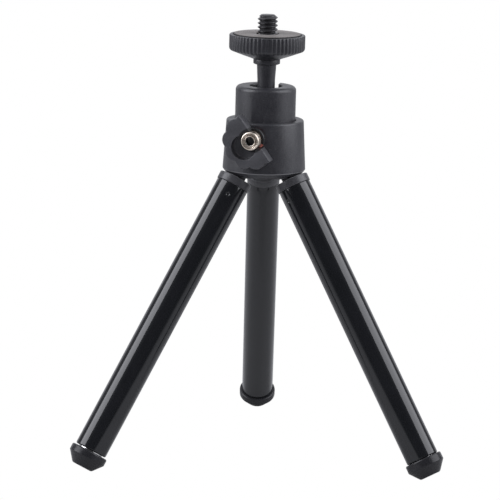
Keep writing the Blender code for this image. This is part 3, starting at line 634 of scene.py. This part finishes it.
for i, azimuth in enumerate(LEG_AZIMUTHS, start=1):
    spoke = AXIS @ spin("Z", azimuth)
    pivot = (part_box(f"hinge_pin_{i}")[0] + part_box(f"hinge_pin_{i}")[1]) / 2 - hub_at
    reach = Vector((pivot.x, pivot.y)).length / MM
    slot_centre = (FORK_FROM + HUB_R / 2, 0, FORK_TOP - FORK_HEIGHT / 2)
    combine(hub, brick("slot", (HUB_R, FORK_WIDTH, FORK_HEIGHT), slot_centre, spoke))
    opposite = AXIS @ spin("Z", azimuth + 180)
    combine(hub, brick("flat", (HUB_R, THROUGH, THROUGH), (HUB_FLAT + HUB_R / 2, 0, 0), opposite))
    eye = spoke @ shift(reach, 0, 0) @ spin("X", 90)
    combine(hub, rod("eye", PIN_R, THROUGH / 2, -THROUGH / 2, eye, 32))
bevelled(hub, 0.22, segments=2, angle=50)
finish_piece(hub, "hub", "black_plastic", HUB_FINISH, "leg_hub")

# ---------------------------------------------------------------- collar

collar_top = up("head_collar", 1)
collar_bottom = up("head_collar", 0)
COLLAR_R = radius("head_collar")
COLLAR_TAPER = 0.9
COLLAR_TOP_R = COLLAR_R - COLLAR_TAPER
SKIRT_TOP = -0.75  # where the skirt's bore starts to flare, clear of the leg plugs
SKIRT_TOP_R = 11.0
SKIRT_FOOT_R = 11.75
WEB_FROM = 3.6
WEB_TO = 6.6
WELL_R = 9.65
collar_points = [
    (COLLAR_TOP_R, collar_top),
    (COLLAR_R, collar_bottom + COLLAR_CHAMFER),
    (COLLAR_R - COLLAR_TAPER, collar_bottom),
    (SKIRT_FOOT_R, collar_bottom),
    (SKIRT_TOP_R, SKIRT_TOP),
    (SKIRT_TOP_R, WEB_FROM),
    (BORE_R, WEB_FROM),
    (BORE_R, WEB_TO),
    (WELL_R, WEB_TO),
    (WELL_R, collar_top),
]
collar = turned(
    "collar_moulding",
    rounded(collar_points, [0.55, 0.35, 0.2, 0.1, 0.2, 0.3, 0, 0, 0.3, 0.3], loop=True),
    AXIS,
    steps=160,
    loop=True,
)
combine(collar, rod("insert_hole", 3.0, 14.5, 8.1, CLAMP, 48))
bevelled(collar, 0.2, segments=2, angle=60)
finish_piece(collar, "head", "black_plastic", COLLAR_FINISH, "head_collar")

# ---------------------------------------------------------------- socket

BALL_UP = (ball_at.z - hub_at.z) / MM
socket_top = up("head_socket", 1)
socket_bottom = up("head_socket", 0)
SOCKET_R = radius("head_socket")
MOUTH_R = 5.15
MOUTH_EDGE = 0.4
SEAT_R = 6.4
SHOULDER = 1.3  # the rounded top edge
mouth = math.degrees(math.acos(MOUTH_R / SEAT_R))
socket = turned(
    "socket_sleeve",
    [
        *arc(SOCKET_R - SHOULDER, socket_top - SHOULDER, SHOULDER, 90, 0, 10),
        (SOCKET_R, socket_bottom + 0.2),
        (SOCKET_R - 0.2, socket_bottom),
        (SEAT_R, socket_bottom),
        *arc(0, BALL_UP, SEAT_R, 0, mouth, 12),
        (MOUTH_R, socket_top - 0.5),
        *arc(MOUTH_R + MOUTH_EDGE, socket_top - MOUTH_EDGE, MOUTH_EDGE, 180, 90, 4),
    ],
    AXIS,
    steps=160,
    loop=True,
)
NOTCH_HALF = 3.25
NOTCH_REACH = 19  # past the socket's wall, and past its top
NOTCH_STEPS = 32
notch_at = AXIS @ shift(0, 0, BALL_UP) @ BALL.to_3x3().to_4x4()
notch_points = []
for k in range(NOTCH_STEPS + 1):
    angle = math.pi + math.pi * k / NOTCH_STEPS
    notch_points.append((NOTCH_HALF * math.cos(angle), NOTCH_HALF * math.sin(angle)))
notch_points += [(NOTCH_HALF, NOTCH_REACH), (-NOTCH_HALF, NOTCH_REACH)]
# The notch's outline lies across the socket: local X tangential, local Y up, raised outwards.
notch_frame = notch_at @ Matrix(((0, 0, 1, 0), (1, 0, 0, 0), (0, 1, 0, 0), (0, 0, 0, 1)))
combine(socket, raised("notch", notch_points, 0, NOTCH_REACH, notch_frame))
combine(socket, rod("tip_hole", 2.15, 10.5, 3.0, CLAMP, 40))
bevelled(socket, 0.28, segments=3, angle=50)
finish_piece(socket, "head", "black_plastic", PLASTIC, "head_socket")

# ---------------------------------------------------------------- ball and stem


def over_ball(height):
    """A height above the leg pivots, measured from the ball's centre instead."""
    return height - BALL_UP


BALL_R = 6.3
NECK_R = 2.78
STEM_TOP_R = 3.35
SCREW_HOLE_R = 2.0
SCREW_HOLE_DEPTH = 9.2
FLANGE_R = 4.2
flange_top = over_ball(34.2)
flange_bottom = over_ball(32.5)
hole_floor = flange_top - SCREW_HOLE_DEPTH
neck = math.degrees(math.acos(NECK_R / BALL_R))
stem = turned(
    "ball_and_stem",
    [
        (0, hole_floor),
        (SCREW_HOLE_R, hole_floor),
        (SCREW_HOLE_R, flange_top - 0.2),
        (2.2, flange_top),
        *arc(FLANGE_R - 0.2, flange_top - 0.2, 0.2, 90, 0, 3),
        *arc(FLANGE_R - 0.12, flange_bottom + 0.3, 0.12, 0, -60, 3),
        (FLANGE_R - 0.3, flange_bottom + 0.06),
        (FLANGE_R - 0.5, flange_bottom),
        (STEM_TOP_R, flange_bottom),
        *arc(3.33, flange_bottom - 0.28, 0.28, 90, 180, 4),
        (NECK_R, flange_bottom - 5.0),
        *arc(0, 0, BALL_R, neck, -90, 40),
    ],
    BALL,
    steps=96,
)
finish_piece(stem, "ball", "black_plastic", PLASTIC, "ball_stem")

# ---------------------------------------------------------------- camera screw, with a true helical thread

THREAD_R = 3.175
ROOT_R = 2.46
PITCH = 1.27
ROWS = 16  # mesh rows in one pitch
COLUMNS = 72
TIP_R = 2.12
SHANK_R = 1.9
SHANK_FOOT_R = 1.7
screw_top = over_ball(up("camera_screw", 1))
screw_start = flange_top
screw_low = hole_floor + 0.1


def thread_radius(phase):
    """A V-thread with a narrow flat crest and a rounded root."""
    slope = 1 - abs(2 * phase - 1)  # 0 in the root, 1 at the crest
    slope = min(1.0, max(0.0, (slope - 0.07) / 0.83))
    return ROOT_R + (THREAD_R - ROOT_R) * slope


def screw_limit(z):
    """The chamfered tip, and the plain length under the thread."""
    tip = TIP_R + (screw_top - z) * 1.2
    run_in = ROOT_R + max(0.0, z - screw_start - 0.9) * 0.9
    return min(tip, run_in)


row_count = int((screw_top - screw_start + 2 * PITCH) / PITCH * ROWS)
verts, faces, grid = [], [], []
for row in range(row_count):
    line = []
    for j in range(COLUMNS):
        turn = j / COLUMNS
        z = screw_start - PITCH + PITCH * (row / ROWS + turn)
        z = min(max(z, screw_start), screw_top)
        r = min(thread_radius(row / ROWS % 1.0), screw_limit(z))
        line.append(len(verts))
        verts.append((r * math.cos(math.tau * turn), r * math.sin(math.tau * turn), z))
    grid.append(line)
for row in range(row_count - 1):
    for j in range(COLUMNS):
        k = (j + 1) % COLUMNS
        lift = ROWS if k == 0 else 0
        if row + 1 + lift < row_count:
            faces.append([grid[row][j], grid[row + lift][k], grid[row + 1 + lift][k], grid[row + 1][j]])
mesh = bpy.data.meshes.new("thread")
mesh.from_pydata(verts, [], faces)
build = bmesh.new()
build.from_mesh(mesh)
bmesh.ops.remove_doubles(build, verts=build.verts, dist=1e-4)
bmesh.ops.dissolve_degenerate(build, edges=build.edges, dist=1e-5)
low_ring = [e for e in build.edges if e.is_boundary and max(v.co.z for v in e.verts) < screw_start + 0.01]
top_ring = [e for e in build.edges if e.is_boundary and min(v.co.z for v in e.verts) > screw_top - 0.01]
bmesh.ops.contextual_create(build, geom=top_ring)
# The plain shank carries on below the thread, into the ball.
for r, z in ((SHANK_R, screw_start), (SHANK_R, screw_low + 0.2), (SHANK_FOOT_R, screw_low)):
    made = bmesh.ops.extrude_edge_only(build, edges=low_ring)["geom"]
    moved = [g for g in made if isinstance(g, bmesh.types.BMVert)]
    for v in moved:
        flat = Vector((v.co.x, v.co.y)).normalized() * r
        v.co = (flat.x, flat.y, z)
    low_ring = [g for g in made if isinstance(g, bmesh.types.BMEdge)]
bmesh.ops.contextual_create(build, geom=low_ring)
build.to_mesh(mesh)
build.free()
screw = mesh_object("camera_screw_thread", mesh, BALL, sharp=40)
finish_piece(screw, "ball", "black_steel", OXIDE, "camera_screw")

# ---------------------------------------------------------------- wheel and pad

KNURLS = 56
KNURL_DEPTH = 0.2
wheel_top = over_ball(up("lock_wheel", 1))
wheel_bottom = over_ball(up("lock_wheel", 0))
WHEEL_R = radius("lock_wheel")
WHEEL_EDGE = wheel_bottom + 2.4  # the rim's lower edge, above the wheel's foot
WHEEL_BORE_R = 3.3
CONE_FROM_R = WHEEL_R - 1.4
CONE_TOP = WHEEL_EDGE - 0.2
CONE_STEPS = 8
PAD_BORE_R = 3.6
PAD_GAP = 0.15  # between the pad's edge and the rim
PAD_R = radius("wheel_pad")
pad_top = over_ball(up("wheel_pad", 1))
pad_floor = pad_top - 0.8
wheel_points = [
    (PAD_R + 0.1, wheel_top - 0.12),
    (PAD_R + 0.22, wheel_top),
    (WHEEL_R - 0.3, wheel_top),
    (WHEEL_R - 0.08, wheel_top - 0.08),
    (WHEEL_R, wheel_top - 0.3),
    (WHEEL_R, WHEEL_EDGE + 0.95),
    (WHEEL_R - 0.1, WHEEL_EDGE + 0.55),
    (WHEEL_R - 0.4, WHEEL_EDGE + 0.18),
    (WHEEL_R - 0.85, WHEEL_EDGE - 0.02),
    (CONE_FROM_R, CONE_TOP),
    *[
        (CONE_FROM_R - (WHEEL_R - 6.2) * k / CONE_STEPS, CONE_TOP - 2.1 * (k / CONE_STEPS) ** 0.95)
        for k in range(1, CONE_STEPS + 1)
    ],
    (4.72, wheel_bottom + 0.04),
    (4.5, wheel_bottom),
    (WHEEL_BORE_R, wheel_bottom),
    (WHEEL_BORE_R, pad_floor),
    (PAD_R + 0.1, pad_floor),
]


def knurled(r, z, angle):
    """Rounded ridges round the rim, fading out into its top and bottom edges."""
    fade_r = min(1.0, max(0.0, (r - WHEEL_R + 0.9) / 0.6))
    fade_top = min(1.0, max(0.0, (wheel_top - z) / 0.25 + 0.35))
    wave = 0.5 - 0.5 * math.cos(KNURLS * angle)
    groove = (1 - wave) ** 1.3
    return r - KNURL_DEPTH * groove * fade_r * fade_top, z


wheel = turned("knurled_wheel", wheel_points, BALL, steps=KNURLS * 10, loop=True, shape=knurled, sharp=50)
finish_piece(wheel, "wheel", "black_plastic", WHEEL_FINISH, "lock_wheel")

pad = turned(
    "grip_pad",
    rounded(
        [
            (PAD_BORE_R, pad_top - 0.7),
            (PAD_BORE_R, pad_top),
            (PAD_R - PAD_GAP, pad_top),
            (PAD_R - PAD_GAP, pad_top - 0.7),
        ],
        [0, 0.12, 0.05, 0],
        loop=True,
    ),
    BALL,
    steps=120,
    loop=True,
)
finish_piece(pad, "wheel", "rubber", RUBBER, "wheel_pad")

# ---------------------------------------------------------------- clamp knob

STUD_R = 2.85
STUD_END = 18.0
STUD_FROM = 13.35
STUD_HOLE_R = 1.38
STUD_HOLE_DEPTH = 2.9
SHAFT_R = 2.0
clamp_stud = turned(
    "clamp_stud",
    [
        (0, STUD_END - 3.3),
        (1.1, STUD_END - 3.0),
        (STUD_HOLE_R, STUD_END - STUD_HOLE_DEPTH),
        (STUD_HOLE_R, STUD_END - 0.15),
        *arc(1.52, STUD_END - 0.14, 0.14, 180, 90, 3),
        (1.72, STUD_END),
        (1.82, STUD_END - 0.16),
        (1.98, STUD_END - 0.16),
        (2.08, STUD_END),
        (2.24, STUD_END),
        (2.32, STUD_END - 0.1),
        (2.42, STUD_END - 0.02),
        *arc(STUD_R - 0.3, STUD_END - 0.3, 0.3, 90, 0, 4),
        (STUD_R, STUD_FROM + 0.15),
        (STUD_R - 0.15, STUD_FROM),
        (SHAFT_R, STUD_FROM),
        (SHAFT_R, 6.5),
        (0.55, 5.05),
        (0.4, 5.0),
        (0, 5.0),
    ],
    CLAMP,
    steps=96,
)
finish_piece(clamp_stud, "clamp", "bright_steel", STEEL, "clamp_screw")

WASHER_R = 3.35
WASHER_FROM = 12.6
WASHER_TO = 13.1
washer = turned(
    "fibre_washer",
    rounded(
        [(WASHER_R, WASHER_TO), (WASHER_R, WASHER_FROM), (BORE_R, WASHER_FROM), (BORE_R, WASHER_TO)],
        [0.1, 0.1, 0, 0],
        loop=True,
    ),
    CLAMP,
    steps=64,
    loop=True,
)
finish_piece(washer, "head", "red_fibre", RED, "clamp_washer")

WING_R = 9.1
WING_CHORD = 1.55
WING_SLANT = 53.0
WING_FROM = 13.25
WING_TO = 17.4
WING_CORNER = 0.5
LOBES = 5
LOBE_DEPTH = 1.0
OUTLINE_STEPS = 720
POCKET_R = 3.95
POCKET_FLOOR = 14.1
POCKET_OFF = -2.2
BOSS_R = 3.75
BOSS_TO = 14.7
STUD_CLEAR_R = 2.95
ABOVE = 19  # past every face of the knob
side = math.radians(90 - WING_SLANT)
outline = []
for k in range(OUTLINE_STEPS):
    angle = math.tau * k / OUTLINE_STEPS + side
    lobe = abs(math.cos((angle - math.pi) * LOBES)) ** 0.7
    r = WING_R - LOBE_DEPTH * (1 - lobe)
    x, y = r * math.cos(angle), r * math.sin(angle)
    if x * math.cos(side) + y * math.sin(side) < WING_CHORD:
        outline.append((x, y))
# Sparse near the two corners, so that their rounding has room.
outline = [outline[0], *outline[12:-12:3], outline[-1]]
sizes = [0.0] * len(outline)
sizes[0] = sizes[-1] = WING_CORNER
outline = rounded(outline, sizes, loop=True)
wing = raised("clamp_knob", outline, WING_FROM, WING_TO, CLAMP, edge=0.25)
pocket = [
    (0, ABOVE),
    (POCKET_R, ABOVE),
    *arc(POCKET_R - 0.35, POCKET_FLOOR + 0.35, 0.35, 0, -90, 4),
    (0, POCKET_FLOOR),
]
combine(wing, turned("pocket", pocket, CLAMP @ shift(POCKET_OFF, POCKET_OFF, 0), steps=96))
boss_foot = WING_FROM + 0.05
boss = [(0, BOSS_TO), *arc(BOSS_R - 0.3, BOSS_TO - 0.3, 0.3, 90, 0, 4), (BOSS_R, boss_foot), (0, boss_foot)]
combine(wing, turned("boss", boss, CLAMP, steps=96), "UNION")
combine(wing, rod("bore", STUD_CLEAR_R, ABOVE, 12, CLAMP, 96))
# A relief beside the stud, through which the washer shows.
combine(wing, brick("relief", (1.9, 1.5, 9.0), (3.2, 0, 16.0), CLAMP @ spin("Z", -33)))
bevelled(wing, 0.14, segments=2, angle=50)
finish_piece(wing, "clamp", "satin_plastic", KNOB_FINISH, "clamp_wing")

# ---------------------------------------------------------------- legs

DIMPLES = {1: -90, 2: 60, 3: -104}  # round each leg, from its outer side
CAP_R = 5.4
CAP_FOOT = -6.3
PLUG_R_GAP = 0.1
PLUG_FOOT = -14.5
TONGUE_WIDTH = 4.3
KNUCKLE_R = 2.1
TUBE_R = 5.15
TUBE_BORE = TUBE_R - 0.6
TUBE_FOOT = -100.4
CRIMP_R = 4.13  # the tube's rolled-in foot
DIMPLE_AT = -10
SLIDE_R = 4.0
SLIDE_BORE = 3.5
SLIDE_TOP = -19
SLIDE_FOOT = -100.85
FOOT_PLUG_R = 3.4
FOOT_PLUG_TOP = -93.95
FOOT_END = -106.2
FOOT_TIP_R = 3.3
FOOT_R = 5.95
# The seam above each foot: it shows the bright slide on two legs and is shut on the third.
FOOT_TOPS = {1: -100.7, 2: -100.72, 3: -100.43}
for i, leg in LEGS.items():
    cap = turned(
        f"leg_plug_{i}",
        [
            (0, CAP_TOP),
            *arc(CAP_R - 0.35, CAP_TOP - 0.35, 0.35, 90, 0, 5),
            *arc(CAP_R - 0.12, CAP_FOOT + 0.12, 0.12, 0, -90, 3),
            (TUBE_BORE - PLUG_R_GAP, CAP_FOOT),
            (TUBE_BORE - PLUG_R_GAP, PLUG_FOOT + 0.2),
            (TUBE_BORE - 0.3, PLUG_FOOT),
            (TUBE_BORE - 0.7, PLUG_FOOT),
            (TUBE_BORE - 0.7, -7.8),
            (0, -7.8),
        ],
        leg,
        steps=112,
    )
    hinge = leg @ spin("X", 90)
    half = TONGUE_WIDTH / 2
    combine(cap, brick("tongue", (3.8, TONGUE_WIDTH, TONGUE_WIDTH), (0, 0, -half), leg), "UNION")
    knuckle = rounded([(0, -half), (KNUCKLE_R, -half), (KNUCKLE_R, half), (0, half)], [0, 0.25, 0.25, 0])
    combine(cap, turned("knuckle", knuckle, hinge, steps=64), "UNION")
    combine(cap, rod("eye", PIN_R, -5, 5, hinge, 32))
    bevelled(cap, 0.12, segments=2, angle=60)
    finish_piece(cap, f"leg_{i}", "satin_plastic", CAP_FINISH, f"leg_cap_{i}")

    tube = turned(
        f"leg_tube_{i}",
        [
            (TUBE_BORE, -6.5),
            (TUBE_BORE + 0.1, -6.4),
            *arc(TUBE_R - 0.12, -6.52, 0.12, 90, 0, 3),
            (TUBE_R, -10),
            (TUBE_R, -14),
            (TUBE_R, -40),
            (TUBE_R, -70),
            *arc(TUBE_R - 0.5, TUBE_FOOT + 0.5, 0.5, 0, -90, 6),
            (CRIMP_R + 0.12, TUBE_FOOT),
            (CRIMP_R, TUBE_FOOT + 0.1),
            (CRIMP_R, TUBE_FOOT + 1.2),
            (TUBE_BORE, -98.9),
        ],
        leg,
        steps=128,
        loop=True,
    )
    dimple_at = leg @ spin("Z", DIMPLES[i]) @ shift(0, 0, DIMPLE_AT) @ spin("Y", 90)
    combine(tube, turned("dimple", arc(0, TUBE_R + 0.5, 0.85, 90, -90, 16), dimple_at, steps=40))
    smooth(tube.data)
    finish_piece(tube, f"leg_{i}", "black_tube", TUBE, f"outer_tube_{i}")

    inner = turned(
        f"leg_slide_{i}",
        [
            (SLIDE_R, SLIDE_TOP),
            (SLIDE_R, -60),
            (SLIDE_R, SLIDE_FOOT + 0.15),
            (SLIDE_R - 0.1, SLIDE_FOOT),
            (SLIDE_BORE, SLIDE_FOOT),
            (SLIDE_BORE, SLIDE_TOP),
        ],
        leg,
        loop=True,
    )
    finish_piece(inner, f"foot_{i}", "bright_tube", INNER_TUBE, f"inner_tube_{i}")

    foot = turned(
        f"leg_foot_{i}",
        [
            (0, FOOT_PLUG_TOP),
            (FOOT_PLUG_R - 0.2, FOOT_PLUG_TOP),
            (FOOT_PLUG_R, FOOT_PLUG_TOP - 0.2),
            (FOOT_PLUG_R, FOOT_TOPS[i]),
            *arc(FOOT_R - 0.5, FOOT_TOPS[i] - 0.5, 0.5, 90, 0, 5),
            *arc(FOOT_R - 0.3, -102.8, 0.3, 0, -50, 4),
            *rounded([(FOOT_R - 0.12, -103.0), (FOOT_TIP_R, FOOT_END), (0, FOOT_END)], [0, 1.0, 0])[1:],
        ],
        leg,
        steps=96,
    )
    finish_piece(foot, f"foot_{i}", "satin_plastic", FOOT_FINISH, f"foot_cap_{i}")

# ---------------------------------------------------------------- carried-over CAD pieces

CARRIED = {
    "ball_cup": SATIN,
    "thread_insert": BRASS,
    "pivot_screw": PIN_STEEL,
    "pivot_washer": PIN_STEEL,
    **{f"hinge_pin_{i}": PIN_STEEL for i in LEGS},
    **{f"guide_bush_{i}": SATIN for i in LEGS},
}
for name, mat in CARRIED.items():
    node = frame["nodes"][name]
    for material_slot in node.material_slots:
        material_slot.link = "OBJECT"
        material_slot.material = mat

# ---------------------------------------------------------------- floor, light, camera

FLOOR_R = 9.0
FLOOR_DARK_Y = -0.34
FLOOR_PALE_Y = -0.12
floor_mesh = bpy.data.meshes.new("floor")
build = bmesh.new()
bmesh.ops.create_circle(build, cap_ends=True, segments=96, radius=FLOOR_R)
build.to_mesh(floor_mesh)
build.free()
floor = bpy.data.objects.new("floor", floor_mesh)
bpy.context.scene.collection.objects.link(floor)
pale = Surface("pale_floor", ior=1.05)
split = pale.node("ShaderNodeSeparateXYZ")
pale.link(pale.place, split.inputs[0])
# The floor is painted dark in front of the tripod, where the room is dark: painted shade, for the glossy
# faces to mirror.
reach = pale.ranged(split.outputs[1], FLOOR_DARK_Y, FLOOR_PALE_Y)
worn = pale.mix(pale.noise(120, 3), (0.45, 0.45, 0.45), (0.47, 0.47, 0.47))
pale.done(pale.mix(reach, (0.04, 0.04, 0.04), worn), 0.8)
floor_mesh.materials.append(pale.mat)
# The white backdrop stands in for the floor in the picture, so that a leg that swings or slides below
# the floor stays in sight; the floor still lights the tripod from below.
floor.visible_camera = False


LIGHT_TINT = (0.93, 0.94, 1.0)
LIGHT_AIM = Vector((0, 0, 0.06))


def soft_light(name, azimuth, elevation, distance, size, power):
    """A square soft box that faces the middle of the tripod."""
    lamp = bpy.data.lights.new(name, "AREA")
    lamp.shape = "RECTANGLE"
    lamp.size, lamp.size_y = size
    lamp.energy = power
    lamp.color = LIGHT_TINT
    obj = bpy.data.objects.new(name, lamp)
    bpy.context.scene.collection.objects.link(obj)
    a, e = math.radians(azimuth), math.radians(elevation)
    away = Vector((math.cos(a) * math.cos(e), math.sin(a) * math.cos(e), math.sin(e)))
    obj.location = LIGHT_AIM + away * distance
    obj.rotation_euler = away.to_track_quat("Z", "Y").to_euler()
    return obj


soft_light("left_box", 194, 31, 1.3, (1.02, 1.3), 18.5)
soft_light("right_box", 349, 31, 1.3, (1.3, 1.3), 18.5)
# A weak fill from the front that the glossy faces do not mirror.
fill = soft_light("front_fill", 270, 14, 1.4, (1.2, 1.2), 9)
fill.visible_glossy = False

world = bpy.data.worlds.new("studio")
world.use_nodes = True
bpy.context.scene.world = world
tree = world.node_tree
room = tree.nodes["Background"]
room.inputs["Color"].default_value = (*LIGHT_TINT, 1)


def world_math(operation, a, b):
    node = tree.nodes.new("ShaderNodeMath")
    node.operation = operation
    for socket, value in zip(node.inputs, (a, b)):
        if isinstance(value, bpy.types.NodeSocket):
            tree.links.new(value, socket)
        else:
            socket.default_value = value
    return node.outputs[0]


def world_range(value, low, high, to_low, to_high, kind="LINEAR"):
    node = tree.nodes.new("ShaderNodeMapRange")
    node.interpolation_type = kind
    tree.links.new(value, node.inputs["Value"])
    node.inputs["From Min"].default_value = low
    node.inputs["From Max"].default_value = high
    node.inputs["To Min"].default_value = to_low
    node.inputs["To Max"].default_value = to_high
    return node.outputs["Result"]


split = tree.nodes.new("ShaderNodeSeparateXYZ")
tree.links.new(tree.nodes.new("ShaderNodeTexCoord").outputs["Generated"], split.inputs[0])
# The room is dim in front, where the camera stands, and bright behind and above.
depth = world_range(split.outputs["Y"], -0.8, 0.2, 0.05, 0.9)
# Two darker panels stand beside and behind the soft boxes, low down.
off_centre = world_math("ABSOLUTE", world_math("SUBTRACT", split.outputs["Y"], 0.42), 0)
panel = world_range(off_centre, 0.2, 0.36, 0.3, 1.0, "SMOOTHSTEP")
high = world_range(split.outputs["Z"], 0.4, 0.6, 0.0, 1.0)
tree.links.new(world_math("MULTIPLY", depth, world_math("MAXIMUM", panel, high)), room.inputs["Strength"])
# The backdrop that the camera sees is plain white.
backdrop = tree.nodes.new("ShaderNodeBackground")
backdrop.inputs["Color"].default_value = (1, 1, 1, 1)
switch = tree.nodes.new("ShaderNodeMixShader")
tree.links.new(tree.nodes.new("ShaderNodeLightPath").outputs["Is Camera Ray"], switch.inputs[0])
tree.links.new(room.outputs[0], switch.inputs[1])
tree.links.new(backdrop.outputs[0], switch.inputs[2])
tree.links.new(switch.outputs[0], tree.nodes["World Output"].inputs["Surface"])

# The camera looks from the front, a little above, and leans slightly.
CAMERA_TARGET = Vector((-0.0037, hub_at.y, 0.0656))
CAMERA_DISTANCE = 0.988
CAMERA_UP = math.radians(10.93)
CAMERA_LEAN = math.radians(1.485)
SENSOR = 36.0
FOCAL = 3115.0 * SENSOR / 500.0
lens = bpy.data.cameras.new("camera")
lens.sensor_width = SENSOR
lens.lens = FOCAL
lens.clip_start = 0.05
lens.clip_end = 50
camera = bpy.data.objects.new("camera", lens)
bpy.context.scene.collection.objects.link(camera)
back = Vector((0, -math.cos(CAMERA_UP), math.sin(CAMERA_UP)))
right = Vector((1, 0, 0))
top = back.cross(right)
c, s = math.cos(CAMERA_LEAN), math.sin(CAMERA_LEAN)
right, top = right * c + top * s, top * c - right * s
camera.matrix_world = frame_of(CAMERA_TARGET + back * CAMERA_DISTANCE, right, top, back)
bpy.context.scene.camera = camera
bpy.context.scene.view_settings.view_transform = "Standard"
